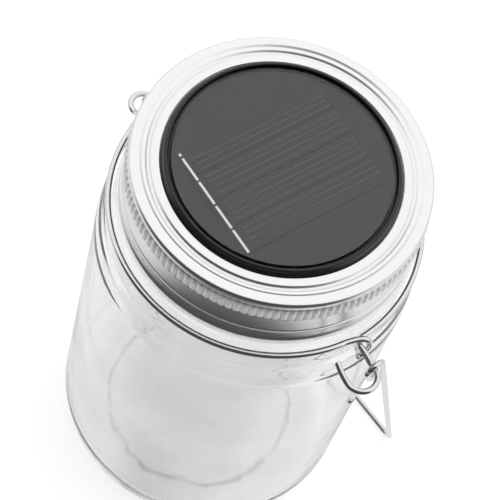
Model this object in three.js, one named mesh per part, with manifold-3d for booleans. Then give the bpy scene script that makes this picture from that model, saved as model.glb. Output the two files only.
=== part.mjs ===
// Mason jar lantern: a clear glass jar with a wire neck ring and swinging wire bail, closed by a
// screw band that holds a round solar lamp module down on the jar's rim.
// Units are millimetres, +Z is up and the origin is the centre of the jar's flat base.

import * as THREE from 'three';
import { mergeVertices } from 'three/addons/utils/BufferGeometryUtils.js';
import Module from 'manifold-3d';

// ---- driving dimensions -------------------------------------------------------------------
const LID = 139.5;             // height of the band's flat top above the table
const BODY_R = 41.7;           // outside radius of the jar's straight body
const HEEL_R = 10.5;           // outside rounding between the body and the base
const WALL = 2.8;              // glass thickness of the body
const FLOOR = 4.5;             // glass thickness of the base
const MOUTH_R = 30.3;          // inside radius of the mouth
const FINISH_R = 33.8;         // outside of the threaded finish between the threads
const BEAD_R = 39.0;           // glass bead under the band
const GROOVE_R = 38.3;         // groove under the bead, where the neck ring lies
const RIM = LID - 4.6;         // height of the jar's rim
const THREAD_PITCH = 5.08;     // five threads to the inch
const BAND_R = 37.4;           // outside radius of the band's skirt
const BAND_H = 17.4;           // height of the band's skirt below the flat top
const SHEET = 0.5;             // thickness of the band's tinplate
const KNURL_R = 36.75;         // radius of the valleys between the band's knurls
const BEZEL_R = 29.8;          // outside radius of the black bezel
const WINDOW_R = 26.9;         // radius of the solar panel's clear window
const CUP_R = 27.8;            // outside radius of the lamp module below the rim
const CUP_WALL = 1.6;          // wall of the module's plastic cup
const CUP_BASE = LID - 21.4;   // underside of the module's cup
const PANEL_AZ = 51.5;         // direction of the solar cell's fine lines, degrees about +Z
const WIRE = 0.8;              // radius of the stainless wire of the neck ring and the bail
const RING_R = 39.9;           // centreline radius of the neck ring
const PIVOT_AZ = 145.7;        // direction of the bail's pivot axis, degrees about +Z
const PIVOT_OFF = -3.1;        // sideways offset of the pivot axis from the jar's own axis
const PIVOT_Z = LID - 25.5;    // height of the pivot axis
const EYE_A = -47.8;           // place of the bail's hook-side eye along the pivot axis
const EYE_B = 43.6;            // place of its other eye along the pivot axis
const EYE_R = 2.4;             // centreline radius of the bail's eyes
const BAR_A = -44.2;           // hook-side end of the bail's crossbar along the pivot axis
const BAR_B = 44.6;            // other end of the crossbar
const BAR_OFF = 39.8;          // sideways offset of the hanging crossbar
const BAR_Z = 1.3;             // height of the hanging crossbar's centreline
const CELL_R = 5.25;           // radius of the rechargeable AAA cell
const CELL_L = 44.0;           // length of the cell without its button
const CELL_Y = -4.0;           // sideways place of the cell in the module
const CELL_Z = LID - 12.6;     // height of the cell's axis

const rad = THREE.MathUtils.degToRad;
const V = (x, y, z) => new THREE.Vector3(x, y, z);
const wasm = await Module();
wasm.setup();

const mat = (color, roughness, metalness, extra = {}) =>
  new THREE.MeshStandardMaterial({ color, roughness, metalness, ...extra });
const GLASS = () => mat(0xe8eeee, 0.05, 0, { transparent: true, opacity: 0.35 });
const STEEL = () => mat(0xb9bbbd, 0.22, 1);
const TINPLATE = () => mat(0xc9cbcd, 0.3, 1);
const BLACK = () => mat(0x101011, 0.18, 0);
const WHITE_PLASTIC = () => mat(0xe6e6e2, 0.45, 0);
const SILICONE = () => mat(0xdcdcd6, 0.7, 0);

// ---- solids -------------------------------------------------------------------------------
// Only positions are kept and shared vertices are merged, so that the mesh is one closed skin.
function closed(geometry) {
  const g = geometry.clone();
  g.deleteAttribute('normal');
  g.deleteAttribute('uv');
  return mergeVertices(g, 1e-4);
}

// Signed volume tells whether the faces point out; a mesh turned inside out is turned back.
function outward(geometry) {
  const g = closed(geometry), p = g.attributes.position, i = g.index;
  let volume = 0;
  const [a, b, c] = [V(0, 0, 0), V(0, 0, 0), V(0, 0, 0)];
  for (let k = 0; k < i.count; k += 3) {
    a.fromBufferAttribute(p, i.getX(k));
    b.fromBufferAttribute(p, i.getX(k + 1));
    c.fromBufferAttribute(p, i.getX(k + 2));
    volume += a.dot(b.cross(c));
  }
  if (volume < 0) {
    for (let k = 0; k < i.count; k += 3) {
      const t = i.getX(k + 1);
      i.setX(k + 1, i.getX(k + 2));
      i.setX(k + 2, t);
    }
  }
  return g;
}

const solid = (geometry) => {
  const g = outward(geometry);
  return new wasm.Manifold(new wasm.Mesh({
    numProp: 3,
    vertProperties: new Float32Array(g.attributes.position.array),
    triVerts: new Uint32Array(g.index.array),
  }));
};

function fromSolid(manifold) {
  const mesh = manifold.getMesh();
  const g = new THREE.BufferGeometry();
  g.setAttribute('position', new THREE.BufferAttribute(new Float32Array(mesh.vertProperties), 3));
  g.setIndex(new THREE.BufferAttribute(new Uint32Array(mesh.triVerts), 1));
  return g;
}

const join = (first, ...rest) =>
  fromSolid(rest.reduce((sum, g) => sum.add(solid(g)), solid(first)));
const cut = (first, ...rest) =>
  fromSolid(rest.reduce((sum, g) => sum.subtract(solid(g)), solid(first)));

// A body of revolution about +Z from (radius, height) pairs; it starts and ends on the axis or
// comes back to its first point.
function turned(profile, segments = 48) {
  const points = profile.map(([r, z]) => new THREE.Vector2(r, z));
  if (profile[0][0] > 0) points.push(points[0].clone());
  return outward(new THREE.LatheGeometry(points, segments).rotateX(Math.PI / 2));
}

// An arc of a profile, from angle a to angle b in degrees.
function arc(cx, cz, r, a, b, steps) {
  const points = [];
  for (let k = 0; k <= steps; k++) {
    const t = rad(a + (b - a) * k / steps);
    points.push([cx + r * Math.cos(t), cz + r * Math.sin(t)]);
  }
  return points;
}

const box = (sx, sy, sz, x, y, z) => new THREE.BoxGeometry(sx, sy, sz).translate(x, y, z);
const rod = (r, z0, z1, x, y, segments = 20) =>
  new THREE.CylinderGeometry(r, r, z1 - z0, segments).rotateX(Math.PI / 2)
    .translate(x, y, (z0 + z1) / 2);

// A wire centreline through given points, sampled exactly at those points.
class WirePath extends THREE.Curve {
  constructor(points) {
    super();
    this.points = points;
  }

  getPoint(t, target = new THREE.Vector3()) {
    const s = Math.min(Math.max(t, 0), 1) * (this.points.length - 1);
    const k = Math.min(Math.floor(s), this.points.length - 2);
    return target.copy(this.points[k]).lerp(this.points[k + 1], s - k);
  }

  getUtoTmapping(u) {
    return u;
  }
}

// Round wire of the given radius swept along a list of points.
function wire(points, radius = WIRE, sides = 8) {
  const section = new THREE.Shape();
  for (let k = 0; k < sides; k++) {
    const t = 2 * Math.PI * k / sides;
    const [x, y] = [radius * Math.cos(t), radius * Math.sin(t)];
    if (k) section.lineTo(x, y); else section.moveTo(x, y);
  }
  section.closePath();
  return outward(new THREE.ExtrudeGeometry(section, {
    steps: points.length - 1, extrudePath: new WirePath(points), bevelEnabled: false,
  }));
}

// A polyline whose corners are rounded to the given radius.
function rounded(points, radius, steps = 5) {
  const out = [points[0].clone()];
  for (let k = 1; k < points.length - 1; k++) {
    const before = points[k - 1].clone().sub(points[k]).normalize();
    const after = points[k + 1].clone().sub(points[k]).normalize();
    const half = Math.acos(THREE.MathUtils.clamp(before.dot(after), -1, 1)) / 2;
    const reach = Math.min(radius / Math.tan(half),
      0.49 * points[k].distanceTo(points[k - 1]), 0.49 * points[k].distanceTo(points[k + 1]));
    const start = points[k].clone().addScaledVector(before, reach);
    const end = points[k].clone().addScaledVector(after, reach);
    for (let j = 0; j <= steps; j++) {
      const t = j / steps;
      out.push(start.clone().multiplyScalar((1 - t) ** 2)
        .addScaledVector(points[k], 2 * t * (1 - t)).addScaledVector(end, t * t));
    }
  }
  out.push(points[points.length - 1].clone());
  return out;
}

// A point given by its place along the pivot axis, its sideways offset and its height.
const AXIS = V(Math.cos(rad(PIVOT_AZ)), Math.sin(rad(PIVOT_AZ)), 0);
const SIDE = V(Math.sin(rad(PIVOT_AZ)), -Math.cos(rad(PIVOT_AZ)), 0);
const onAxis = (along, side, z) =>
  V(0, 0, z).addScaledVector(AXIS, along).addScaledVector(SIDE, side);

const lantern = new THREE.Group();
function piece(name, geometry, material) {
  const g = outward(geometry).toNonIndexed();
  g.computeVertexNormals();
  const mesh = new THREE.Mesh(g, material);
  mesh.name = name;
  lantern.add(mesh);
  return mesh;
}

// ---- jar ----------------------------------------------------------------------------------
// Helix of the screw threads: turns counted from the top, rising towards its start.
function helix(radius, zTop, turns, startDeg, perTurn = 20) {
  const points = [], n = Math.round(turns * perTurn);
  for (let k = 0; k <= n; k++) {
    const t = k / perTurn, a = rad(startDeg) - t * 2 * Math.PI;
    points.push(V(radius * Math.cos(a), radius * Math.sin(a), zTop - t * THREAD_PITCH));
  }
  return points;
}

const jarProfile = [
  [0, 0], [BODY_R - HEEL_R, 0],
  ...arc(BODY_R - HEEL_R, HEEL_R, HEEL_R, -72, 0, 4),
  [BODY_R, LID - 37.5],
  [BODY_R - 0.4, LID - 32.6], [BODY_R - 1.2, LID - 28.6], [BODY_R - 2.2, LID - 26],
  [GROOVE_R + 0.3, LID - 24.4], [GROOVE_R, LID - 23.2], [GROOVE_R, LID - 20.6],
  [BEAD_R - 0.3, LID - 20.1], [BEAD_R, LID - 19.3], [BEAD_R - 0.3, LID - 18.3],
  [GROOVE_R - 0.6, LID - 17.9], [FINISH_R + 0.6, LID - 17.7], [FINISH_R, LID - 17],
  [FINISH_R, RIM - 1.2], [FINISH_R - 1.0, RIM],
  [MOUTH_R + 0.7, RIM], [MOUTH_R, RIM - 0.8],
  [MOUTH_R, LID - 17], [MOUTH_R + 2.6, LID - 21], [BODY_R - 5.6, LID - 25.5],
  [BODY_R - 3.6, LID - 30], [BODY_R - WALL, LID - 37.5],
  ...arc(BODY_R - WALL - 8, FLOOR + 8, 8, 0, -68, 3),
  [BODY_R - WALL - 8, FLOOR], [0, FLOOR],
];
piece('glass_jar',
  join(turned(jarProfile, 40), wire(helix(FINISH_R - 0.1, RIM - 2.6, 1.3, 20), 1.2, 6)), GLASS());

// The neck ring is one wire: a hairpin at its first end, then round the front of the neck, out
// and back as a small ear, round the back, through the hairpin and out as a hook-shaped ear.
function ringArc(fromDeg, toDeg, zFrom, zTo, steps, r = RING_R) {
  const points = [];
  for (let k = 0; k <= steps; k++) {
    const t = k / steps, a = rad(fromDeg + (toDeg - fromDeg) * t);
    points.push(V(r * Math.cos(a), r * Math.sin(a), zFrom + (zTo - zFrom) * t));
  }
  return points;
}

// U-shaped ear in a level plane: a half circle from one leg's offset to the other's.
function earBend(along, sideFrom, sideTo, z, sign, steps = 6) {
  const mid = (sideFrom + sideTo) / 2, r = (sideFrom - sideTo) / 2, points = [];
  for (let k = 0; k <= steps; k++) {
    const a = Math.PI * k / steps;
    points.push(onAxis(along + sign * Math.abs(r) * Math.sin(a), mid + r * Math.cos(a), z));
  }
  return points;
}

const ringPath = [
  onAxis(-42.9, -4.6, LID - 25.8), onAxis(-42.9, -3.2, LID - 25.7),
  onAxis(-42.7, -1.7, LID - 25.0), onAxis(-42.5, -0.9, LID - 23.6),
  onAxis(-42.0, -1.2, LID - 22.1), onAxis(-41.1, -2.3, LID - 21.4),
  onAxis(-40.3, -3.9, LID - 21.3),
  ...ringArc(-44, -186, LID - 21.4, LID - 21.0, 18),
  onAxis(39.4, -10.4, LID - 21.4), onAxis(40.6, -9.6, LID - 23.6),
  onAxis(42.0, -9.5, LID - 25.2),
  ...earBend(43.1, -9.5, PIVOT_OFF, PIVOT_Z, 1),
  onAxis(41.9, PIVOT_OFF, LID - 25.2), onAxis(40.6, -2.9, LID - 23.4),
  ...ringArc(-210.5, -385, LID - 21.8, LID - 23.6, 21),
  ...ringArc(-387, -394, LID - 23.6, LID - 23.6, 1),
  onAxis(-39.95, -1.6, LID - 23.6), onAxis(-40.5, -2.7, LID - 23.6),
  onAxis(-41.6, PIVOT_OFF, LID - 23.6), onAxis(-44.4, PIVOT_OFF, LID - 24.6),
  onAxis(-46.2, PIVOT_OFF, LID - 25.4),
  ...earBend(-47.4, PIVOT_OFF, -11.3, PIVOT_Z, -1, 8),
  onAxis(-44.6, -11.2, LID - 24.6), onAxis(-41.8, -10.6, LID - 23.8),
];
piece('neck_wire', wire(ringPath), STEEL());

// ---- bail ---------------------------------------------------------------------------------
// Each arm ends in a long eye hooked over its ear: up one side, over the top and down again.
const lean = Math.atan2(BAR_OFF - PIVOT_OFF, PIVOT_Z - BAR_Z);
function bailEye(along) {
  const at = (across, down) => onAxis(along,
    PIVOT_OFF + across * Math.cos(lean) + down * Math.sin(lean),
    PIVOT_Z + across * Math.sin(lean) - down * Math.cos(lean));
  const points = [at(-0.4, 6.9), at(-1.5, 6.2), at(-2.2, 5.0), at(-EYE_R, 3.6), at(-EYE_R, 1.6)];
  for (let k = 0; k <= 8; k++) {
    const a = Math.PI * (1 - k / 8);
    points.push(at(EYE_R * Math.cos(a), -EYE_R * Math.sin(a)));
  }
  return points;
}
const corner = (along) => onAxis(along, BAR_OFF, BAR_Z);
const armTop = bailEye(EYE_A), armTopB = bailEye(EYE_B);
piece('bail_handle', wire([
  ...armTop.slice(0, -1),
  ...rounded([armTop.at(-1), corner(BAR_A), corner(BAR_B), armTopB.at(-1)], 3.2, 6),
  ...armTopB.slice(0, -1).reverse(),
]), STEEL());

// ---- screw band ---------------------------------------------------------------------------
const bandProfile = [
  [30.1, LID], [31.85, LID], [32.4, LID - 0.9], [33.3, LID - 0.1], [34.05, LID],
  [34.7, LID + 0.35], [36.5, LID + 0.35], [37.4, LID - 0.6], [37.4, LID - 6.0],
  [BAND_R, LID - 6.9], [BAND_R, LID - 12.7], [BAND_R + 0.42, LID - 13.1], [BAND_R, LID - 13.8],
  [BAND_R, LID - 16.4], [BAND_R + 0.5, LID - 16.85], [BAND_R + 0.5, LID - BAND_H],
  [BAND_R - SHEET, LID - BAND_H], [BAND_R - SHEET, LID - 7.3], [KNURL_R - 0.4, LID - 6.6],
  [KNURL_R - 0.4, LID - 2.2], [36.6, LID - 1.1], [36.2, LID - 0.35], [34.8, LID - 0.3],
  [33.3, LID - 0.7], [32.4, LID - 1.45], [31.6, LID - 0.6], [30.1, LID - 0.5],
];
piece('screw_band',
  join(turned(bandProfile, 40), wire(helix(BAND_R - 1.05, LID - 8.9, 1.1, 210), 0.8, 6)),
  TINPLATE());

// ---- sealing gasket -----------------------------------------------------------------------
piece('sealing_gasket', turned([
  [31.0, RIM + 0.3], [33.0, RIM + 0.3], [33.6, RIM + 0.6], [33.6, RIM + 1.0],
  [33.0, RIM + 1.2], [31.0, RIM + 1.2],
], 32), SILICONE());

// ---- solar panel --------------------------------------------------------------------------
piece('bezel_ring', turned([
  [25.6, LID - 1.6], [BEZEL_R, LID - 1.6], [BEZEL_R, LID + 0.1], [29.35, LID + 0.55],
  [28.95, LID + 1.1], [28.6, LID + 1.4], [28.05, LID + 1.4], [27.9, LID + 0.1],
  [27.25, LID + 0.05], [27.25, LID - 0.9], [25.6, LID - 0.9],
], 40), BLACK());
piece('panel_board', turned([[0, LID - 0.6], [26.9, LID - 0.6], [26.9, LID - 0.15],
  [0, LID - 0.15]], 32), mat(0x151518, 0.4, 0));

const panel = new THREE.Group();
panel.rotation.z = rad(PANEL_AZ);
panel.position.z = LID;
lantern.add(panel);
function panelPiece(name, geometry, material) {
  const mesh = piece(name, geometry, material);
  panel.add(mesh);
  return mesh;
}
// Four cell strips lie side by side across the fine lines; a bright tinned ribbon runs over one
// end of each, and a solder pad ends the row.
const STRIP_W = 7.5, STRIP_PITCH = 7.75, STRIP_L = 41.8;
const RIBBON_U = -20.5, RIBBON_W = 0.62;
for (let k = 0; k < 4; k++) {
  panelPiece(`cell_strip_${k + 1}`,
    box(STRIP_L, STRIP_W, 0.2, -0.5, 11.5 - STRIP_PITCH * k, 0.05), mat(0x3b3c40, 0.25, 0));
  panelPiece(`cell_ribbon_${k + 1}`,
    box(RIBBON_W, 6.7, 0.12, RIBBON_U, 9.75 - 7.28 * k, 0.28), mat(0xe2e4e6, 0.3, 1));
}
panelPiece('ribbon_pad', box(RIBBON_W, 0.8, 0.12, RIBBON_U, 14.2, 0.28), mat(0xe2e4e6, 0.3, 1));
piece('panel_window', turned([[0, LID + 0.5], [WINDOW_R - 0.2, LID + 0.5],
  [WINDOW_R, LID + 0.7], [WINDOW_R, LID + 1.0], [WINDOW_R - 0.2, LID + 1.1], [0, LID + 1.1]],
40), mat(0x2c2d30, 0.06, 0, { transparent: true, opacity: 0.35 }));

// ---- lamp module: top plate with screw pillars, and the cup screwed on from below ----------
const SCREWS = [[0, 22.4], [0, -21.6]];
piece('module_plate', cut(
  join(
    turned([[0, LID - 3.1], [CUP_R - CUP_WALL, LID - 3.1], [CUP_R - CUP_WALL, LID - 13.6],
      [CUP_R, LID - 13.6], [CUP_R, LID - 3.1], [33.7, LID - 3.1], [33.7, LID - 1.9],
      [0, LID - 1.9]], 36),
    ...SCREWS.map(([x, y]) => rod(2.6, LID - 19.4, LID - 2.5, x, y, 16)),
  ),
  ...SCREWS.map(([x, y]) => rod(1.25, LID - 20, LID - 12, x, y, 12)),
), WHITE_PLASTIC());

const LEDS = [[15.7, 13.2], [-15.7, 13.2], [-15.7, -13.6], [15.7, -13.6]];
const SWITCH_Y = 11.5;
piece('battery_case', cut(
  join(
    turned([[0, CUP_BASE], [CUP_R - 0.6, CUP_BASE], [CUP_R, CUP_BASE + 0.6],
      [CUP_R, LID - 13.9], [CUP_R - CUP_WALL, LID - 13.9], [CUP_R - CUP_WALL, CUP_BASE + 1.6],
      [0, CUP_BASE + 1.6]], 36),
    box(22, 1.2, 5, 0, CELL_Y - 7, CUP_BASE + 3.2),
    box(44, 1.2, 5, 0, CELL_Y + 7, CUP_BASE + 3.2),
    rod(2.9, CUP_BASE + 0.8, CUP_BASE + 4, 0, CELL_Y + 9.6, 16),
  ),
  box(46, 11.6, 6, 0, CELL_Y, CUP_BASE + 1),
  rod(1.2, CUP_BASE - 1, CUP_BASE + 5, 0, CELL_Y + 9.6, 12),
  box(6.4, 3, 6, 0.9, SWITCH_Y, CUP_BASE + 1),
  ...LEDS.map(([x, y]) => rod(2.8, CUP_BASE - 1, CUP_BASE + 3, x, y, 20)),
  ...SCREWS.map(([x, y]) => rod(1.4, CUP_BASE - 1, CUP_BASE + 3, x, y, 12)),
), WHITE_PLASTIC());

// The door closes the cell's opening and its tongue reaches over the case's screw boss.
piece('battery_door', cut(
  join(box(45.4, 11, 1.3, 0, CELL_Y, CUP_BASE + 0.65),
    box(8, 12, 1.2, 0, CELL_Y + 8, CUP_BASE - 0.9),
    box(8, 4, 1.8, 0, CELL_Y + 3.2, CUP_BASE - 0.3)),
  rod(1.3, CUP_BASE - 2, CUP_BASE + 1, 0, CELL_Y + 9.6, 12),
), WHITE_PLASTIC());

// Pan-head screws, head down.
const screw = (x, y, zHead, length) => turned([[0, zHead - 1.5], [1.2, zHead - 1.5],
  [2.0, zHead - 0.9], [2.1, zHead], [0.9, zHead], [0.9, zHead + length], [0, zHead + length + 0.6]],
12).translate(x, y, 0);
SCREWS.forEach(([x, y], k) =>
  piece(`case_screw_${k + 1}`, screw(x, y, CUP_BASE - 0.2, 8), STEEL()));
piece('door_screw', screw(0, CELL_Y + 9.6, CUP_BASE - 1.7, 5), STEEL());

// ---- electrics ----------------------------------------------------------------------------
piece('battery_cell', turned([[0, -CELL_L / 2], [4.4, -CELL_L / 2], [CELL_R, -CELL_L / 2 + 0.6],
  [CELL_R, CELL_L / 2 - 0.6], [4.6, CELL_L / 2], [1.9, CELL_L / 2], [1.9, CELL_L / 2 + 0.8],
  [0, CELL_L / 2 + 0.8]], 20).rotateY(Math.PI / 2).translate(-0.2, CELL_Y, CELL_Z),
mat(0x3f8f5a, 0.35, 0));
// Negative end: a flat coil spring. Positive end: a thin plate.
const coil = [];
for (let k = 0; k <= 18; k++) {
  const t = k / 18, a = 2 * Math.PI * 2 * t, r = 3.4 - 1.2 * t;
  coil.push(V(-23.6 + 0.95 * t, CELL_Y + r * Math.cos(a), CELL_Z + r * Math.sin(a)));
}
piece('battery_spring', wire(coil, 0.2, 5), STEEL());
piece('battery_contact', box(0.4, 7, 7, 23.2, CELL_Y, CELL_Z), mat(0xc9cbcd, 0.3, 1));

piece('circuit_board', cut(turned([[0, LID - 5.6], [24.6, LID - 5.6], [24.6, LID - 4.1],
  [0, LID - 4.1]], 32), ...SCREWS.map(([x, y]) => rod(3.3, LID - 7, LID - 3, x, y, 16))),
mat(0x1f6b3a, 0.4, 0));
piece('driver_chip', box(4.9, 3.9, 1.5, -7, 11, LID - 6.7), mat(0x161616, 0.5, 0));
piece('inductor', rod(2.4, LID - 9.8, LID - 6, 7.5, 11, 14), mat(0x3a3d3a, 0.6, 0));
LEDS.forEach(([x, y], k) => {
  const dome = [[0, CUP_BASE - 5], [1.2, CUP_BASE - 4.65], [2.1, CUP_BASE - 3.8],
    [2.5, CUP_BASE - 2.5], [2.5, CUP_BASE + 1.9], [2.9, CUP_BASE + 1.9], [2.9, CUP_BASE + 2.9],
    [0, CUP_BASE + 2.9]];
  piece(`led_${k + 1}`, join(turned(dome, 14).translate(x, y, 0),
    box(0.5, 0.5, LID - 5.9 - CUP_BASE - 2, x - 1.27, y, (LID - 5.9 + CUP_BASE + 2) / 2),
    box(0.5, 0.5, LID - 5.9 - CUP_BASE - 2, x + 1.27, y, (LID - 5.9 + CUP_BASE + 2) / 2)),
  mat(0xf2f4ee, 0.12, 0, { transparent: true, opacity: 0.35 }));
});

// Slide switch: its body stands on the cup's floor and the knob comes down through the slot.
piece('switch_body', cut(box(9, 4.6, 4.4, 0.9, SWITCH_Y, CUP_BASE + 4.2),
  box(5.6, 2.4, 2.4, 0.9, SWITCH_Y, CUP_BASE + 2.6)), mat(0xa9abad, 0.35, 1));
piece('switch_knob', join(box(2.4, 1.8, 1.5, -0.4, SWITCH_Y, CUP_BASE + 2.7),
  box(1.8, 1.6, 4.6, -0.4, SWITCH_Y, CUP_BASE + 0.4)), mat(0x141414, 0.5, 0));

export default lantern;
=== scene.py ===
"""Looks of the mason jar lantern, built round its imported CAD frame.

Shapes are worked out in millimetres in the row frame (origin at the centre of the jar's base,
+Z up the jar) and turned into metres when a mesh is made.
"""

import math

import bpy
import numpy as np
from mathutils import Matrix, Vector, noise


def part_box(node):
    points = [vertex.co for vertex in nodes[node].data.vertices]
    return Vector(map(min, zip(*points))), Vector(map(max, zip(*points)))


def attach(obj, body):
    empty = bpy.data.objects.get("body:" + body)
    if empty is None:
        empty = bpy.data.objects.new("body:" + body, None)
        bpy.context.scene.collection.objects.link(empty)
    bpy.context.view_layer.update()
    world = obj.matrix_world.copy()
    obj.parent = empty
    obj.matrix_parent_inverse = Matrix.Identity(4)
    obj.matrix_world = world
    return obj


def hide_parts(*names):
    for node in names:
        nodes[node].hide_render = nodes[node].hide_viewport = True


MM = 0.001
ON_AXIS = 1e-6  # a smaller radius than this is on the jar's axis
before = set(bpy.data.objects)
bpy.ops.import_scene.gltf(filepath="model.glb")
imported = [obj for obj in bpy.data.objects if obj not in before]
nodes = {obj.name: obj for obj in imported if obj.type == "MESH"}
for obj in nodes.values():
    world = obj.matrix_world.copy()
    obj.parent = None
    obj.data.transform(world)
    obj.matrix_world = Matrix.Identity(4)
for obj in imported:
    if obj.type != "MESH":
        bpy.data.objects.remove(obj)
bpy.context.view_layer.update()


# ---- sizes, from the frame ------------------------------------------------------------------
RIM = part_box("glass_jar")[1][2] / MM  # top of the jar's mouth
LID = RIM + 4.6  # level of the screw band's flat top
BODY_R = 41.7
HEEL_R = 10.5  # radius of the round heel under the jar's wall
WALL = 2.8
FLOOR = 4.5
MOUTH_R = 30.3
FINISH_R = 33.8  # outside of the glass finish, which carries the thread
GROOVE_R = 38.3  # bottom of the groove that holds the neck wire
BEAD_R = 38.4  # ring of glass above that groove
SEAMS = (-106, 74)  # azimuths of the two mould seams, degrees
THREAD_PITCH = 5.08
BAND_R = 37.4  # outside of the screw band's skirt
SHEET = 0.5  # thickness of the band's tinplate
KNURLS = 124
KNURL_TOP, KNURL_LOW = LID - 2.6, LID - 6.2
KNURL_R = 37.15  # valleys between the knurls
KNURL_CREST = 37.75
WIRE = 0.8  # radius of the stainless wire
RING_R = 39.9  # centre line of the wire round the neck
PIVOT_AZ = math.radians(145.7)  # direction of the line through both ears
PIVOT_OFF = -3.1  # how far that line passes from the jar's axis
PIVOT_Z = LID - 25.5
PANEL_AZ = math.radians(51.5)  # direction of the panel's printed lines


# ---- meshes ---------------------------------------------------------------------------------
def add_piece(name, vertices, faces, material, body, stands_for=(), slot=None):
    """Makes a smooth closed mesh from points in millimetres and fixes it to a CAD body."""
    mesh = bpy.data.meshes.new(name)
    mesh.from_pydata((np.asarray(vertices, float) * MM).tolist(), [], faces)
    mesh.update()
    mesh.shade_smooth()
    mesh.materials.append(material)
    piece = bpy.data.objects.new(name, mesh)
    bpy.context.scene.collection.objects.link(piece)
    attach(piece, body)
    if stands_for:
        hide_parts(*stands_for)
    return piece


def fillet(points, steps=5):
    """Rounds the corners of an (r, z, radius) loop; a point without a radius stays sharp."""
    out = []
    count = len(points)
    for k, point in enumerate(points):
        here = np.array(point[:2], float)
        radius = point[2] if len(point) > 2 else 0
        if not radius:
            out.append(tuple(here))
            continue
        before = np.array(points[k - 1][:2], float) - here
        after = np.array(points[(k + 1) % count][:2], float) - here
        lengths = np.linalg.norm(before), np.linalg.norm(after)
        before, after = before / lengths[0], after / lengths[1]
        half = math.acos(float(np.clip(before @ after, -1, 1))) / 2
        reach = min(radius / math.tan(half), 0.48 * lengths[0], 0.48 * lengths[1])
        start, end = here + before * reach, here + after * reach
        for j in range(steps + 1):
            t = j / steps
            p = start * (1 - t) ** 2 + here * 2 * t * (1 - t) + end * t * t
            out.append(tuple(p))
    return out


def dense(points, longest):
    """Splits the long edges of a loop of (r, z) points."""
    out = []
    for k, a in enumerate(points):
        b = points[(k + 1) % len(points)]
        pieces = max(1, math.ceil(math.dist(a, b) / longest))
        if a[0] < ON_AXIS and b[0] < ON_AXIS:
            pieces = 1
        out += [
            (a[0] + (b[0] - a[0]) * j / pieces, a[1] + (b[1] - a[1]) * j / pieces)
            for j in range(pieces)
        ]
    return out


def arc(r, z, radius, start, end, steps):
    """Points on a circle in the (r, z) plane, angles in degrees."""
    return [
        (
            r + radius * math.cos(math.radians(start + (end - start) * k / steps)),
            z + radius * math.sin(math.radians(start + (end - start) * k / steps)),
        )
        for k in range(steps + 1)
    ]


def turned(loop, segments, shape=None):
    """Vertices and faces of a closed (r, z) loop turned round Z. shape moves the rows."""
    rows = np.array(loop, float)
    # the loop runs so that the outside is on its right when it goes up
    area = sum(
        loop[k][0] * loop[(k + 1) % len(loop)][1] - loop[(k + 1) % len(loop)][0] * loop[k][1]
        for k in range(len(loop))
    )
    if area < 0:
        rows = rows[::-1]
    phi = np.arange(segments) * 2 * math.pi / segments
    r = np.repeat(rows[:, :1], segments, 1)
    z = np.repeat(rows[:, 1:], segments, 1)
    if shape is not None:
        r, z = shape(r, z, np.broadcast_to(phi, r.shape))
    x, y = r * np.cos(phi), r * np.sin(phi)
    vertices, index = [], np.zeros(r.shape, int)
    for k in range(len(rows)):
        if rows[k, 0] < ON_AXIS:
            index[k] = len(vertices)
            vertices.append((0.0, 0.0, float(z[k].mean())))
        else:
            index[k] = len(vertices) + np.arange(segments)
            vertices += list(zip(x[k], y[k], z[k]))
    faces = []
    for k in range(len(rows)):
        a, b = index[k], index[(k + 1) % len(rows)]
        poles = rows[k, 0] < ON_AXIS, rows[(k + 1) % len(rows), 0] < ON_AXIS
        if all(poles):
            continue
        for j in range(segments):
            i = (j + 1) % segments
            if poles[0]:
                faces.append((int(a[j]), int(b[i]), int(b[j])))
            elif poles[1]:
                faces.append((int(a[j]), int(a[i]), int(b[j])))
            else:
                faces.append((int(a[j]), int(a[i]), int(b[i]), int(b[j])))
    return vertices, faces


def smooth_path(points, steps=6):
    """Centripetal Catmull-Rom curve through the points."""
    p = [np.array(q, float) for q in points]
    p = [2 * p[0] - p[1]] + p + [2 * p[-1] - p[-2]]
    out = []
    for k in range(1, len(p) - 2):
        t = [0.0]
        for j in range(3):
            t.append(t[-1] + max(np.linalg.norm(p[k + j] - p[k + j - 1]), 1e-6) ** 0.5)
        count = max(1, min(steps, round(np.linalg.norm(p[k + 1] - p[k]) / 0.25)))
        for j in range(count):
            s = t[1] + (t[2] - t[1]) * j / count
            a1 = (t[1] - s) / (t[1] - t[0]) * p[k - 1] + (s - t[0]) / (t[1] - t[0]) * p[k]
            a2 = (t[2] - s) / (t[2] - t[1]) * p[k] + (s - t[1]) / (t[2] - t[1]) * p[k + 1]
            a3 = (t[3] - s) / (t[3] - t[2]) * p[k + 1] + (s - t[2]) / (t[3] - t[2]) * p[k + 2]
            b1 = (t[2] - s) / (t[2] - t[0]) * a1 + (s - t[0]) / (t[2] - t[0]) * a2
            b2 = (t[3] - s) / (t[3] - t[1]) * a2 + (s - t[1]) / (t[3] - t[1]) * a3
            out.append((t[2] - s) / (t[2] - t[1]) * b1 + (s - t[1]) / (t[2] - t[1]) * b2)
    out.append(p[-2])
    return out


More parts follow.
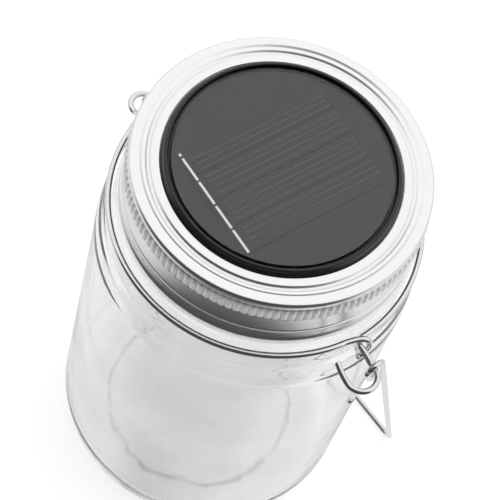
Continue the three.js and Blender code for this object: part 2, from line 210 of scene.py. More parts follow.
def tube(path, radius, sides=20):
    """Round wire along a path, with softly rounded cut ends."""
    path = [np.array(p, float) for p in path]
    tangents = []
    for k in range(len(path)):
        d = path[min(k + 1, len(path) - 1)] - path[max(k - 1, 0)]
        tangents.append(d / np.linalg.norm(d))
    first = np.cross(tangents[0], (0.3, 0.2, 0.93))
    normal = first / np.linalg.norm(first)
    rings = []
    edge = 0.25 * radius
    for k, (p, t) in enumerate(zip(path, tangents)):
        normal = normal - (normal @ t) * t
        normal = normal / np.linalg.norm(normal)
        side = np.cross(t, normal)
        if k == 0:
            for a in (90, 60, 30):
                c, s = math.cos(math.radians(a)), math.sin(math.radians(a))
                rings.append((p - t * edge * s, normal, side, radius - edge + edge * c))
        rings.append((p, normal, side, radius))
        if k == len(path) - 1:
            for a in (30, 60, 90):
                c, s = math.cos(math.radians(a)), math.sin(math.radians(a))
                rings.append((p + t * edge * s, normal, side, radius - edge + edge * c))
    vertices, faces = [], []
    for p, n, b, r in rings:
        for j in range(sides):
            a = 2 * math.pi * j / sides
            vertices.append(p + r * (math.cos(a) * n + math.sin(a) * b))
    for k in range(len(rings) - 1):
        for j in range(sides):
            i = (j + 1) % sides
            faces.append((k * sides + j, k * sides + i, (k + 1) * sides + i, (k + 1) * sides + j))
    last = (len(rings) - 1) * sides
    faces.append(tuple(reversed(range(sides))))
    faces.append(tuple(range(last, last + sides)))
    return vertices, faces


# ---- materials ------------------------------------------------------------------------------
class Finish:
    """A node material under construction: one Principled shader and what drives it."""

    def __init__(self, name, **sockets):
        self.material = bpy.data.materials.new(name)
        self.material.use_nodes = True
        self.tree = self.material.node_tree
        self.tree.nodes.clear()
        output = self.tree.nodes.new("ShaderNodeOutputMaterial")
        self.shader = self.tree.nodes.new("ShaderNodeBsdfPrincipled")
        self.tree.links.new(self.shader.outputs[0], output.inputs[0])
        self.place = self.tree.nodes.new("ShaderNodeTexCoord").outputs["Object"]
        for key, value in sockets.items():
            self.set(key.replace("_", " "), value)

    def put(self, socket, value):
        if isinstance(value, bpy.types.NodeSocket):
            self.tree.links.new(value, socket)
        elif isinstance(value, (tuple, list)) and len(value) == 3 and socket.type == "RGBA":
            socket.default_value = (*value, 1)
        else:
            socket.default_value = value

    def set(self, key, value):
        self.put(self.shader.inputs[key], value)

    def make(self, kind, inputs=(), output=0, **properties):
        node = self.tree.nodes.new("ShaderNode" + kind)
        for key, value in properties.items():
            setattr(node, key, value)
        for key, value in dict(inputs).items():
            self.put(node.inputs[key], value)
        return node.outputs[output]

    def math(self, operation, a, b=0.0):
        return self.make("Math", {0: a, 1: b}, operation=operation)

    def vector(self, operation, a, b=(0, 0, 0), output=0):
        return self.make("VectorMath", {0: a, 1: b}, output, operation=operation)

    def noise(self, scale, detail=2.0, rough=0.5, stretch=None):
        place = self.place
        if stretch is not None:
            place = self.vector("MULTIPLY", place, stretch)
        return self.make(
            "TexNoise",
            {"Vector": place, "Scale": scale, "Detail": detail, "Roughness": rough},
        )

    def noise_1d(self, value, scale, detail=2.0, rough=0.5):
        return self.make(
            "TexNoise",
            {"W": value, "Scale": scale, "Detail": detail, "Roughness": rough},
            noise_dimensions="1D",
        )

    def between(self, value, low_in, high_in, low_out, high_out):
        return self.make(
            "MapRange",
            {
                "Value": value,
                "From Min": low_in,
                "From Max": high_in,
                "To Min": low_out,
                "To Max": high_out,
            },
        )

    def mix(self, share, a, b):
        return self.make("Mix", {0: share, 6: a, 7: b}, 2, data_type="RGBA")

    def bump(self, height, strength, distance, under=None):
        inputs = {"Height": height, "Strength": strength, "Distance": distance}
        if under is not None:
            inputs["Normal"] = under
        return self.make("Bump", inputs)

    def parts(self):
        """x, y and z of the object coordinates."""
        node = self.tree.nodes.new("ShaderNodeSeparateXYZ")
        self.tree.links.new(self.place, node.inputs[0])
        return node.outputs[0], node.outputs[1], node.outputs[2]

    def radius(self):
        x, y, _ = self.parts()
        flat = self.make("CombineXYZ", {0: x, 1: y})
        return self.vector("LENGTH", flat, output=1)


def glass_finish():
    f = Finish("jar_glass", IOR=1.5, Transmission_Weight=1.0)
    patch = f.noise(35, 3, 0.55)
    clear = f.mix(f.between(patch, 0.35, 0.65, 0.0, 1.0), (0.82, 0.825, 0.825), (0.92, 0.925, 0.925))
    # the ring that the jar stands on is stippled and rougher, and its darker colour is painted
    # contact shadow
    _, _, z = f.parts()
    low_part = f.between(z, 0.0004, 0.0022, 1.0, 0.0)
    uneven = f.math("MULTIPLY", f.noise(75, 3, 0.6), 0.006)
    from_ring = f.math("SUBTRACT", f.math("ADD", f.radius(), uneven), 0.0305)
    ring = f.between(f.math("ABSOLUTE", from_ring), 0.0002, 0.0011, 1.0, 0.0)
    patchy = f.between(f.noise(120, 3, 0.6), 0.35, 0.6, 0.25, 1.0)
    stipple_and_painted_shadow = f.math("MULTIPLY", low_part, f.math("MULTIPLY", ring, patchy))
    # painted contact shadow: the glass's colour is darkened towards 0.3 on that ring
    f.set("Base Color", f.mix(stipple_and_painted_shadow, clear, (0.3, 0.3, 0.3)))
    f.set("Roughness", f.math("MULTIPLY", stipple_and_painted_shadow, 0.25))
    ripple = f.noise(90, 2, 0.5, stretch=(1, 1, 0.5))
    f.set("Normal", f.bump(ripple, 0.05, 0.0006))
    return f.material


def tin_finish():
    f = Finish("tinplate", Anisotropic=0.35)
    x, y, z = f.parts()
    along = f.math("SUBTRACT", f.radius(), z)
    streak = f.noise_1d(along, 2600, 3, 0.6)
    broad = f.noise_1d(along, 420, 2, 0.5)
    mottle = f.noise(60, 4, 0.6)
    tone = f.math("MULTIPLY", f.math("ADD", streak, broad), 0.5)
    tone = f.math("ADD", f.math("MULTIPLY", tone, 0.6), f.math("MULTIPLY", mottle, 0.4))
    f.set("Base Color", f.mix(tone, (0.9, 0.9, 0.905), (0.98, 0.98, 0.98)))
    from_knurl = f.math("ABSOLUTE", f.math("SUBTRACT", z, (KNURL_TOP + KNURL_LOW) / 2 * MM))
    worn = f.between(from_knurl, 0.0016, 0.0019, 0.3, 0.0)
    f.set("Metallic", f.between(from_knurl, 0.0016, 0.0019, 0.58, 1.0))
    f.set("Roughness", f.math("ADD", f.between(tone, 0.3, 0.7, 0.24, 0.33), worn))
    f.set("Tangent", f.make("Tangent", direction_type="RADIAL", axis="Z"))
    lines = f.bump(streak, 0.12, 0.00006)
    f.set("Normal", f.bump(mottle, 0.1, 0.0003, lines))
    return f.material


def steel_finish(name="stainless_wire", dark=(0.72, 0.72, 0.73), light=(0.9, 0.9, 0.91)):
    f = Finish(name, Metallic=1.0)
    grain = f.noise(900, 3, 0.6)
    blotch = f.noise(120, 3, 0.5)
    f.set("Base Color", f.mix(blotch, dark, light))
    f.set("Roughness", f.between(grain, 0.3, 0.7, 0.06, 0.14))
    f.set("Normal", f.bump(grain, 0.12, 0.00004))
    return f.material


def plastic_finish(name, dark, light, rough, grain=1500.0, bump=0.1, **sockets):
    f = Finish(name, **sockets)
    fine = f.noise(grain, 3, 0.6)
    broad = f.noise(70, 3, 0.55)
    f.set("Base Color", f.mix(broad, dark, light))
    f.set("Roughness", f.between(f.math("ADD", fine, broad), 0.7, 1.3, rough * 0.8, rough * 1.25))
    f.set("Normal", f.bump(fine, bump, 0.00005))
    return f.material


def laminate_finish(name, dark, light):
    """The even, dull surfaces under the panel's window."""
    f = Finish(name, Specular_IOR_Level=0.4)
    patch = f.noise(70, 2, 0.5)
    f.set("Base Color", f.mix(patch, dark, light))
    f.set("Roughness", f.between(patch, 0.3, 0.7, 0.3, 0.42))
    return f.material


def board_finish():
    f = Finish("board_green", Coat_Weight=0.3, Coat_Roughness=0.15)
    grid = f.make(
        "TexVoronoi",
        {"Vector": f.place, "Scale": 420.0},
        feature="DISTANCE_TO_EDGE",
        distance="CHEBYCHEV",
    )
    track = f.math("LESS_THAN", grid, 0.12)
    f.set("Base Color", f.mix(track, (0.012, 0.11, 0.045), (0.03, 0.2, 0.08)))
    f.set("Roughness", f.between(f.noise(300), 0.3, 0.7, 0.3, 0.5))
    f.set("Normal", f.bump(track, 0.3, 0.00005))
    return f.material


def sleeve_finish():
    """Printed foil of a plain AAA cell: a dark body with a copper end band."""
    f = Finish("cell_sleeve", Coat_Weight=0.4, Coat_Roughness=0.1)
    x, _, _ = f.parts()
    band = f.math("GREATER_THAN", x, 0.012)
    worn = f.noise(300, 3, 0.6)
    dark = f.mix(worn, (0.015, 0.11, 0.05), (0.03, 0.16, 0.075))
    f.set("Base Color", f.mix(band, dark, (0.72, 0.72, 0.7)))
    f.set("Roughness", f.between(worn, 0.3, 0.7, 0.25, 0.4))
    return f.material


def led_finish():
    f = Finish("led_clear", Roughness=0.04, IOR=1.5, Transmission_Weight=0.9)
    haze = f.noise(900, 2, 0.5)
    f.set("Base Color", f.mix(haze, (0.86, 0.86, 0.84), (0.95, 0.95, 0.93)))
    f.set("Normal", f.bump(haze, 0.05, 0.0001))
    return f.material


def window_finish():
    f = Finish("window_clear", Roughness=0.0, IOR=1.46, Transmission_Weight=1.0)
    haze = f.noise(400, 3, 0.5)
    f.set("Base Color", f.mix(haze, (0.9, 0.9, 0.905), (0.93, 0.93, 0.935)))
    return f.material


GLASS = glass_finish()
TIN = tin_finish()
STEEL = steel_finish()
SCREW = steel_finish("screw_steel", (0.5, 0.5, 0.5), (0.7, 0.7, 0.7))
CONTACT = steel_finish("contact_steel", (0.6, 0.59, 0.56), (0.75, 0.74, 0.7))
RIBBON = steel_finish("tinned_ribbon", (0.82, 0.82, 0.83), (0.95, 0.95, 0.95))
BEZEL = plastic_finish(
    "bezel_black", (0.008, 0.008, 0.009), (0.014, 0.014, 0.015), 0.12, bump=0.05
)
BOARD_BLACK = laminate_finish("board_black", (0.036, 0.036, 0.037), (0.039, 0.039, 0.04))
WHITE = plastic_finish(
    "module_plastic",
    (0.7, 0.7, 0.69),
    (0.78, 0.78, 0.77),
    0.38,
    Subsurface_Weight=0.08,
    Subsurface_Scale=0.002,
)
SILICONE = plastic_finish(
    "silicone", (0.62, 0.62, 0.6), (0.72, 0.72, 0.7), 0.5, Subsurface_Weight=0.15,
    Subsurface_Scale=0.002,
)
CHIP = plastic_finish("chip_black", (0.012, 0.012, 0.012), (0.03, 0.03, 0.03), 0.5)
FERRITE = plastic_finish("ferrite", (0.03, 0.032, 0.03), (0.06, 0.062, 0.06), 0.65)
KNOB = plastic_finish("knob_black", (0.012, 0.012, 0.012), (0.025, 0.025, 0.025), 0.4)
SILICON = laminate_finish("silicon", (0.037, 0.037, 0.038), (0.041, 0.041, 0.042))
GREEN = board_finish()
SLEEVE = sleeve_finish()
LED = led_finish()
WINDOW = window_finish()

for names, material in (
    (["cell_strip_1", "cell_strip_2", "cell_strip_3", "cell_strip_4"], SILICON),
    (["cell_ribbon_1", "cell_ribbon_2", "cell_ribbon_3", "cell_ribbon_4", "ribbon_pad"], RIBBON),
    (["panel_board"], BOARD_BLACK),
    (["sealing_gasket"], SILICONE),
    (["module_plate", "battery_case", "battery_door"], WHITE),
    (["case_screw_1", "case_screw_2", "door_screw"], SCREW),
    (["battery_cell"], SLEEVE),
    (["battery_spring", "battery_contact"], CONTACT),
    (["circuit_board"], GREEN),
    (["driver_chip"], CHIP),
    (["inductor"], FERRITE),
    (["led_1", "led_2", "led_3", "led_4"], LED),
    (["switch_body", "switch_knob"], KNOB),
):
    for name in names:
        mesh = nodes[name].data
        mesh.materials.clear()
        mesh.materials.append(material)


# ---- jar ------------------------------------------------------------------------------------
inner_body = arc(BODY_R - WALL - 8, FLOOR + 8, 8, 0, -88, 16)
jar_loop = (
    [(0, 1.4), (24.5, 1.4), (26.6, 1.1), (28.4, 0.35), (29.4, 0.05)]
    + arc(BODY_R - HEEL_R, HEEL_R, HEEL_R, -90, 0, 22)
    + fillet(
        [
            (BODY_R, LID - 60),
            (BODY_R, LID - 37.5, 30),
            (BODY_R - 0.4, LID - 32.6, 20),
            (BODY_R - 1.2, LID - 28.6, 12),
            (BODY_R - 2.2, LID - 26, 8),
            (GROOVE_R + 0.3, LID - 24.4, 2),
            (GROOVE_R, LID - 23.2, 2),
            (GROOVE_R, LID - 20.0, 0.8),
            (BEAD_R, LID - 19.2, 1.2),
            (BEAD_R - 0.2, LID - 18.3, 0.9),
            (GROOVE_R - 0.6, LID - 17.75, 1.2),
            (FINISH_R + 0.6, LID - 17.7, 0.6),
            (FINISH_R, LID - 17, 0.6),
            (FINISH_R, RIM - 1.2, 0.6),
            (FINISH_R - 1.0, RIM, 0.6),
            (MOUTH_R + 0.7, RIM, 0.5),
            (MOUTH_R, RIM - 0.8, 0.5),
            (MOUTH_R, LID - 17, 6),
            (MOUTH_R + 2.6, LID - 21, 5),
            (BODY_R - 5.6, LID - 25.5, 5),
            (BODY_R - 3.6, LID - 30, 8),
            (BODY_R - WALL, LID - 37.5, 20),
            (BODY_R - WALL, LID - 60),
        ]
    )
    + inner_body
    + [(24, FLOOR + 0.05), (16, FLOOR + 0.3), (8, FLOOR + 0.5), (0, FLOOR + 0.6)]
)
JAR_ROW = 2.2  # longest edge of the jar's outline, mm
THREAD_ROW = 0.3  # rows this close carry the thread on the finish


def add_thread_rows(loop):
    """Splits the edges on the outside of the finish into rows fine enough for the thread."""
    out = []
    for k, a in enumerate(loop):
        b = loop[(k + 1) % len(loop)]
        pieces = 1
        if min(a[0], b[0]) > FINISH_R - 0.1 and a[1] > LID - 17.2:
            pieces = max(1, math.ceil(math.dist(a, b) / THREAD_ROW))
        out += [
            (a[0] + (b[0] - a[0]) * j / pieces, a[1] + (b[1] - a[1]) * j / pieces)
            for j in range(pieces)
        ]
    return out


jar_loop = add_thread_rows(dense(jar_loop, JAR_ROW))


def helix_height(phi, start_deg, top, turns, z, width):
    """How much of a screw ridge stands at each (angle, height), from 0 to 1."""
    ridge = np.zeros_like(z)
    for turn in range(math.ceil(turns) + 1):
        gone = (math.radians(start_deg) - phi) / (2 * math.pi) + turn
        fade = np.clip(gone / 0.06, 0, 1) * np.clip((turns - gone) / 0.06, 0, 1)
        ridge = np.maximum(ridge, fade * np.exp(-(((z - top + THREAD_PITCH * gone) / width) ** 2)))
    return ridge


def mould_jar(r, z, phi):
    """The finish's thread, two mould seams, and the uneven inside of pressed glass."""
    outside = r > BODY_R - WALL + 0.9
    on_finish = (np.abs(r - FINISH_R) < 0.15) & (z < RIM - 1) & (z > LID - 17)
    thread = helix_height(phi, start_deg=20, top=RIM - 2.6, turns=1.3, z=z, width=0.75)
    r2 = r + np.where(on_finish, 1.1 * thread, 0)
    seam = sum(
        np.exp(-((((phi - math.radians(a) + math.pi) % (2 * math.pi) - math.pi) / 0.008) ** 2))
        for a in SEAMS
    )
    body = np.clip((LID - 24 - z) / 8, 0, 1) * np.clip((z - 3) / 8, 0, 1)
    r2 = r2 + np.where(outside, 0.07 * seam * body, 0)
    wave = np.zeros_like(r)
    for k in range(r.shape[0]):
        if r[k, 0] < ON_AXIS:
            continue
        for j in range(r.shape[1]):
            p = Vector((math.cos(phi[k, j]) * r[k, j], math.sin(phi[k, j]) * r[k, j], z[k, j]))
            wave[k, j] = noise.noise(p / 22) + 0.3 * noise.noise(p / 9 + Vector((7, 3, 1)))
    inside = (~outside) & (z < LID - 24) & (z > 2)
    r2 = r2 + np.where(inside & (z > FLOOR + 1.5), 0.03 * wave, 0)
    r2 = r2 + np.where(outside, 0.006 * wave * body, 0)
    z2 = z + np.where(inside & (z < FLOOR + 6), 0.15 * wave, 0)
    return r2, z2


add_piece(
    "jar", *turned(jar_loop, 288, mould_jar), GLASS, "jar", ["glass_jar"], "jar_glass"
)


# ---- screw band -----------------------------------------------------------------------------
band_outside = fillet(
    [
        (29.6, LID - 0.02, 0.08),
        (31.8, LID - 0.02, 0.5),
        (32.5, LID - 0.65, 0.6),
        (33.3, LID - 0.05, 0.6),
        (34.05, LID, 0.4),
        (34.7, LID + 0.4, 0.5),
        (36.9, LID + 0.22, 0.6),
        (37.3, LID - 0.4, 0.6),
        (37.25, LID - 1.7, 0.6),
        (KNURL_R, LID - 2.4, 0.3),
    ],
    6,
)
KNURL_ROWS = 24
KNURL_FLARE = 0.25  # how much the valleys widen towards the skirt
band_knurl = [
    (KNURL_R + KNURL_FLARE * t**2, KNURL_TOP + (KNURL_LOW - KNURL_TOP) * t)
    for t in (k / KNURL_ROWS for k in range(KNURL_ROWS + 1))
]
band_rest = fillet(
    [
        (KNURL_R + KNURL_FLARE, LID - 6.3, 0.1),
        (BAND_R + 0.05, LID - 6.9, 0.3),
        (BAND_R + 0.05, LID - 12.85, 0.15),
        (BAND_R + 0.42, LID - 13.0, 0.15),
        (BAND_R + 0.4, LID - 13.3, 0.2),
        (BAND_R - 0.15, LID - 13.8, 0.3),
        (BAND_R + 0.1, LID - 16.4, 0.3),
        (BAND_R + 0.5, LID - 16.85, 0.2),
        (BAND_R + 0.5, LID - 17.4, 0.15),
        (BAND_R - SHEET, LID - 17.4, 0.15),
        (BAND_R - SHEET, LID - 7.3, 0.4),
        (KNURL_R - 0.4, LID - 6.6, 0.3),
        (KNURL_R - 0.4, LID - 2.2, 0.3),
        (36.6, LID - 1.1, 0.4),
        (36.2, LID - 0.35, 0.4),
        (34.8, LID - 0.3, 0.4),
        (33.3, LID - 0.7, 0.3),
        (32.4, LID - 1.45, 0.3),
        (31.6, LID - 0.6, 0.3),
        (29.6, LID - 0.5, 0.1),
    ],
    4,
)
INSIDE_ROWS = 26  # rows that carry the thread inside the skirt
band_rest_dense = []
for k, p in enumerate(band_rest):
    band_rest_dense.append(p)
    q = band_rest[(k + 1) % len(band_rest)]
    if p[0] < BAND_R - 0.4 and p[1] < LID - 15 and q[1] > LID - 9:
        band_rest_dense += [
            (p[0] + (q[0] - p[0]) * j / INSIDE_ROWS, p[1] + (q[1] - p[1]) * j / INSIDE_ROWS)
            for j in range(1, INSIDE_ROWS)
        ]


TOOTH_END = 1.1  # length of a tooth's rounded top end, mm
TEETH_STEPS = 10  # columns of the mesh for each knurl


def press_band(r, z, phi):
    """The knurl's row of rounded teeth, and the thread rolled into the skirt's inside."""
    across = (phi * KNURLS / (2 * math.pi)) % 1 - 0.5
    down = (z - KNURL_TOP) / (KNURL_LOW - KNURL_TOP)
    top_end = np.clip(1 - down * (KNURL_TOP - KNURL_LOW) / TOOTH_END, 0, 1)
    tooth = np.clip(1 - (across / 0.49) ** 2 - top_end ** 2, 0, 1) ** 0.7
    on_knurl = (r > KNURL_R - 0.01) & (down > -0.001) & (down < 1.001)
    r2 = r + np.where(on_knurl, (KNURL_CREST - r) * tooth, 0)
    inside = (np.abs(r - (BAND_R - SHEET)) < 0.02) & (z < LID - 7) & (z > LID - 17)
    ridge = helix_height(phi, start_deg=210, top=LID - 8.9, turns=1.1, z=z, width=0.6)
    r2 = r2 - np.where(inside, 0.6 * ridge, 0)
    return r2, z


band = add_piece(
    "band",
    *turned(band_outside + band_knurl + band_rest_dense, KNURLS * TEETH_STEPS, press_band),
    TIN,
    "screw_band",
    ["screw_band"],
    "tinplate",
)


# ---- wires ----------------------------------------------------------------------------------
AXIS = np.array([math.cos(PIVOT_AZ), math.sin(PIVOT_AZ), 0])
SIDE = np.array([math.sin(PIVOT_AZ), -math.cos(PIVOT_AZ), 0])


def on_axis(along, side, z):
    return AXIS * along + SIDE * side + np.array([0, 0, z])


def ring_arc(start, end, z_from, z_to, steps):
    out = []
    for k in range(steps + 1):
        t = k / steps
        a = math.radians(start + (end - start) * t)
        out.append((RING_R * math.cos(a), RING_R * math.sin(a), z_from + (z_to - z_from) * t))
    return out


def ear_bend(along, side_from, side_to, z, sign, steps=10):
    mid, r = (side_from + side_to) / 2, (side_from - side_to) / 2
    return [
        on_axis(
            along + sign * abs(r) * math.sin(math.pi * k / steps),
            mid + r * math.cos(math.pi * k / steps),
            z,
        )
        for k in range(steps + 1)
    ]


L = LID  # short, for the list of points below
ring_points = [
    on_axis(-42.9, -4.6, L - 25.8),
    on_axis(-42.9, -3.2, L - 25.7),
    on_axis(-42.7, -1.7, L - 25.0),
    on_axis(-42.5, -0.9, L - 23.6),
    on_axis(-42.0, -1.2, L - 22.1),
    on_axis(-41.1, -2.3, L - 21.4),
    on_axis(-40.3, -3.9, L - 21.3),
    *ring_arc(-44, -186, L - 21.4, L - 21.0, 72),
    on_axis(39.4, -10.4, L - 21.4),
    on_axis(40.6, -9.6, L - 23.6),
    on_axis(42.0, -9.5, L - 25.2),
    *ear_bend(43.1, -9.5, PIVOT_OFF, PIVOT_Z, 1),
    on_axis(41.9, PIVOT_OFF, L - 25.2),
    on_axis(40.6, -2.9, L - 23.4),
    *ring_arc(-210.5, -385, L - 21.8, L - 23.6, 84),
    *ring_arc(-387, -394, L - 23.6, L - 23.6, 3),
    on_axis(-39.95, -1.6, L - 23.6),
    on_axis(-40.5, -2.7, L - 23.6),
    on_axis(-41.6, PIVOT_OFF, L - 23.6),
    on_axis(-44.4, PIVOT_OFF, L - 24.6),
    on_axis(-46.2, PIVOT_OFF, L - 25.4),
    *ear_bend(-47.4, PIVOT_OFF, -11.3, PIVOT_Z, -1, 12),
    on_axis(-44.6, -11.2, L - 24.6),
    on_axis(-41.8, -10.6, L - 23.8),
]
add_piece(
    "ring_wire", *tube(smooth_path(ring_points), WIRE, 24), STEEL, "jar", ["neck_wire"],
    "stainless_wire",
)

EYE_A, EYE_B, EYE_R = -47.8, 43.6, 2.4
BAR_A, BAR_B, BAR_OFF, BAR_Z = -44.2, 44.6, 39.8, 1.3
LEAN = math.atan2(BAR_OFF - PIVOT_OFF, PIVOT_Z - BAR_Z)


def bail_eye(along):
    """The long eye that hooks an arm over its ear, from its cut end round to the arm."""

    def at(across, down):
        return on_axis(
            along,
            PIVOT_OFF + across * math.cos(LEAN) + down * math.sin(LEAN),
            PIVOT_Z + across * math.sin(LEAN) - down * math.cos(LEAN),
        )

    points = [at(-0.4, 6.9), at(-1.5, 6.2), at(-2.2, 5.0), at(-EYE_R, 3.6), at(-EYE_R, 1.6)]
    for k in range(13):
        a = math.pi * (1 - k / 12)
        points.append(at(EYE_R * math.cos(a), -EYE_R * math.sin(a)))
    return points


def rounded(points, radius, steps):
    """A polyline in space with its corners rounded."""
    out = [points[0]]
    for k in range(1, len(points) - 1):
        before, after = points[k - 1] - points[k], points[k + 1] - points[k]
        lengths = np.linalg.norm(before), np.linalg.norm(after)
        before, after = before / lengths[0], after / lengths[1]
        half = math.acos(float(np.clip(before @ after, -1, 1))) / 2
        reach = min(radius / math.tan(half), 0.49 * min(lengths))
        start, end = points[k] + before * reach, points[k] + after * reach
        for j in range(steps + 1):
            t = j / steps
            out.append(start * (1 - t) ** 2 + points[k] * 2 * t * (1 - t) + end * t * t)
    out.append(points[-1])
    return out


eye_a, eye_b = bail_eye(EYE_A), bail_eye(EYE_B)
bail_path = (
    smooth_path(eye_a)[:-1]
    + rounded(
        [eye_a[-1], on_axis(BAR_A, BAR_OFF, BAR_Z), on_axis(BAR_B, BAR_OFF, BAR_Z), eye_b[-1]],
        3.2,
        14,
    )
    + smooth_path(eye_b)[:-1][::-1]
)
add_piece(
    "bail", *tube(bail_path, WIRE, 24), STEEL, "bail", ["bail_handle"], "stainless_wire"
)


# ---- solar panel ----------------------------------------------------------------------------
bezel_loop = fillet(
    [
        (25.6, LID - 1.6),
        (29.5, LID - 1.6, 0.15),
        (29.5, LID + 0.1, 0.2),
        (29.15, LID + 0.55, 0.6),
        (28.95, LID + 1.1, 0.35),
        (28.6, LID + 1.4, 0.4),
        (28.05, LID + 1.4, 0.3),
        (27.9, LID + 0.1, 0.2),
        (27.3, LID + 0.05, 0.1),
        (27.3, LID - 0.9, 0.1),
        (25.6, LID - 0.9),
    ],
    6,
)
add_piece(
    "bezel", *turned(bezel_loop, 256), BEZEL, "solar_lid", ["bezel_ring"], "bezel_black"
)
window_loop = fillet(
    [(0, LID + 0.5), (27.2, LID + 0.5, 0.1), (27.2, LID + 1.1, 0.15), (0, LID + 1.12)], 5
)
add_piece(
    "window", *turned(window_loop, 192), WINDOW, "solar_lid", ["panel_window"], "window_clear"
)

# fourteen printed contact lines run across the cell strips, each with a tick at both ends
LINE_U = (-17.9, 19.5)
LINES_V = [11.9, 10.3, 8.7, 6.3, 4.8, 3.1, 1.4, -1.7, -3.4, -4.9, -6.6, -9.2, -10.8, -12.5]
LINE_WIDTH = 0.11
LINE_Z = (LID + 0.24, LID + 0.275)
TICK = 0.25  # half the length of a tick
BOX_FACES = ((3, 2, 1, 0), (4, 5, 6, 7), (0, 1, 5, 4), (1, 2, 6, 5), (2, 3, 7, 6), (3, 0, 4, 7))


def contact_lines():
    """Vertices and faces of the printed lines, as thin boxes turned to the panel's direction."""
    panel_turn = np.array(Matrix.Rotation(PANEL_AZ, 3, "Z"))
    vertices, faces = [], []
    for v in LINES_V:
        for u0, u1, v0, v1 in (
            (*LINE_U, v - LINE_WIDTH / 2, v + LINE_WIDTH / 2),
            (LINE_U[0] - 0.1, LINE_U[0] + 0.05, v - TICK, v + TICK),
            (LINE_U[1] - 0.05, LINE_U[1] + 0.1, v - TICK, v + TICK),
        ):
            base = len(vertices)
            for z in LINE_Z:
                for u, w in ((u0, v0), (u1, v0), (u1, v1), (u0, v1)):
                    vertices.append(panel_turn @ np.array([u, w, z]))
            faces += [tuple(base + i for i in face) for face in BOX_FACES]
    return vertices, faces


LINE = plastic_finish("contact_print", (0.25, 0.25, 0.26), (0.36, 0.36, 0.37), 0.4)
add_piece(
    "cell_lines", *contact_lines(), LINE, "solar_lid", (), "tinned_ribbon"
).data.shade_flat()


# ---- floor, light and camera ----------------------------------------------------------------
HALF_FLOOR = 4  # metres
floor_mesh = bpy.data.meshes.new("floor")
corners = ((-1, -1), (1, -1), (1, 1), (-1, 1))
floor_mesh.from_pydata([(x * HALF_FLOOR, y * HALF_FLOOR, 0) for x, y in corners], [], [(0, 1, 2, 3)])
floor_finish = Finish("floor_pale", Roughness=0.9, Specular_IOR_Level=0.0)
floor_tone = floor_finish.mix(floor_finish.noise(8), (0.4, 0.4, 0.4), (0.43, 0.43, 0.43))
floor_finish.set("Base Color", floor_tone)
floor_finish.set("Emission Color", (1, 1, 1))
floor_finish.set("Emission Strength", 0.78)
floor_mesh.materials.append(floor_finish.material)
floor = bpy.data.objects.new("floor", floor_mesh)
floor.location.z = -0.0002
floor.visible_glossy = False
bpy.context.scene.collection.objects.link(floor)

world = bpy.data.worlds.new("studio")
bpy.context.scene.world = world
world.use_nodes = True
tree = world.node_tree
tree.nodes.clear()
world_out = tree.nodes.new("ShaderNodeOutputWorld")
background = tree.nodes.new("ShaderNodeBackground")
tree.links.new(background.outputs[0], world_out.inputs[0])
direction = tree.nodes.new("ShaderNodeTexCoord").outputs["Generated"]
split = tree.nodes.new("ShaderNodeSeparateXYZ")
tree.links.new(direction, split.inputs[0])


def world_math(operation, a, b=0.0):
    node = tree.nodes.new("ShaderNodeMath")
    node.operation = operation
    for socket, value in zip(node.inputs, (a, b)):
        if isinstance(value, bpy.types.NodeSocket):
            tree.links.new(value, socket)
        else:
            socket.default_value = value
    return node.outputs[0]


def smooth_step(value, low_edge, high_edge):
    node = tree.nodes.new("ShaderNodeMapRange")
    node.interpolation_type = "SMOOTHSTEP"
    tree.links.new(value, node.inputs["Value"])
    node.inputs["From Min"].default_value = low_edge
    node.inputs["From Max"].default_value = high_edge
    return node.outputs[0]


HORIZON = 0.82  # the sky's strength at the horizon
OVERHEAD = 0.42  # what is added to it high up
UNDERNEATH = 0.2  # and what is added below, where metal sees a white table
FLAG = 0.91  # share of the light that the dark flag takes away

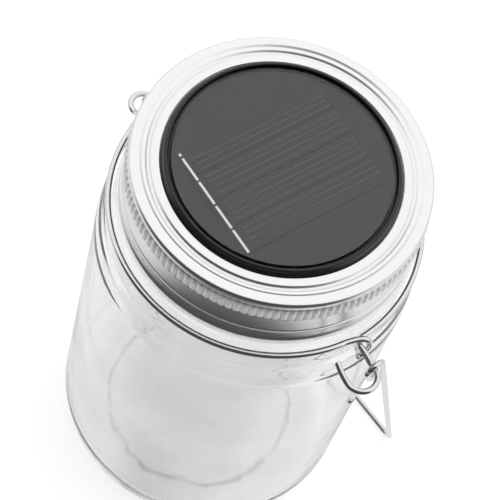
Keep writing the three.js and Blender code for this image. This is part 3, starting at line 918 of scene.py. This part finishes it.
# the flag stands in front of the jar, a little to the left, for edges in metal and glass
toward = world_math(
    "SUBTRACT",
    world_math("MULTIPLY", split.outputs[1], -1.0),
    world_math("MULTIPLY", split.outputs[0], 0.06),
)
dark = smooth_step(toward, 0.18, 0.44)
above = world_math("MULTIPLY", smooth_step(split.outputs[2], 0.1, 0.6), OVERHEAD)
below = world_math("MULTIPLY", smooth_step(split.outputs[2], 0.0, -0.3), UNDERNEATH)
level = world_math("ADD", world_math("ADD", above, below), HORIZON)
passed = world_math("SUBTRACT", 1.0, world_math("MULTIPLY", dark, FLAG))
tree.links.new(world_math("MULTIPLY", level, passed), background.inputs["Strength"])

softbox = bpy.data.lights.new("softbox", "AREA")
softbox.shape = "DISK"
softbox.size = 0.9
softbox.energy = 6
softbox_object = bpy.data.objects.new("softbox", softbox)
softbox_object.visible_glossy = False
softbox_object.visible_transmission = False
softbox_object.location = (0.25, 0.35, 1.3)
softbox_object.rotation_euler = (
    (Vector((0, 0, 0.1)) - softbox_object.location).to_track_quat("-Z", "Y").to_euler()
)
bpy.context.scene.collection.objects.link(softbox_object)


def place_camera():
    """Looks down at the lid from in front, rolled so that the jar leans left."""
    elevation, roll, distance = math.radians(57.91), math.radians(20.03), 0.4402
    aim = Vector((0.0181, -0.0454, 1)).normalized()
    target = Vector((0, 0, LID * MM))
    back = Vector((0, -math.cos(elevation), math.sin(elevation)))
    forward, right = -back, Vector((1, 0, 0))
    up = right.cross(forward)
    base = Matrix((right, -up, forward))
    c, s = math.cos(roll), math.sin(roll)
    rolled = Matrix(((c, -s, 0), (s, c, 0), (0, 0, 1)))
    v = Vector((0, 0, 1)).cross(aim)
    k = Matrix(((0, -v.z, v.y), (v.z, 0, -v.x), (-v.y, v.x, 0)))
    swing = Matrix.Identity(3) + k + k @ k * (1 / (1 + aim.z))
    rows = swing @ rolled @ base
    turned_to = Matrix((rows[0], -rows[1], -rows[2])).transposed().to_4x4()
    camera = bpy.data.cameras.new("camera")
    camera.lens = 132.5
    camera.sensor_width = 36
    camera.clip_start = 0.01
    camera.clip_end = 50
    holder = bpy.data.objects.new("camera", camera)
    holder.matrix_world = Matrix.Translation(target + back * distance) @ turned_to
    bpy.context.scene.collection.objects.link(holder)
    bpy.context.scene.camera = holder


place_camera()
bpy.context.scene.view_settings.view_transform = "Standard"
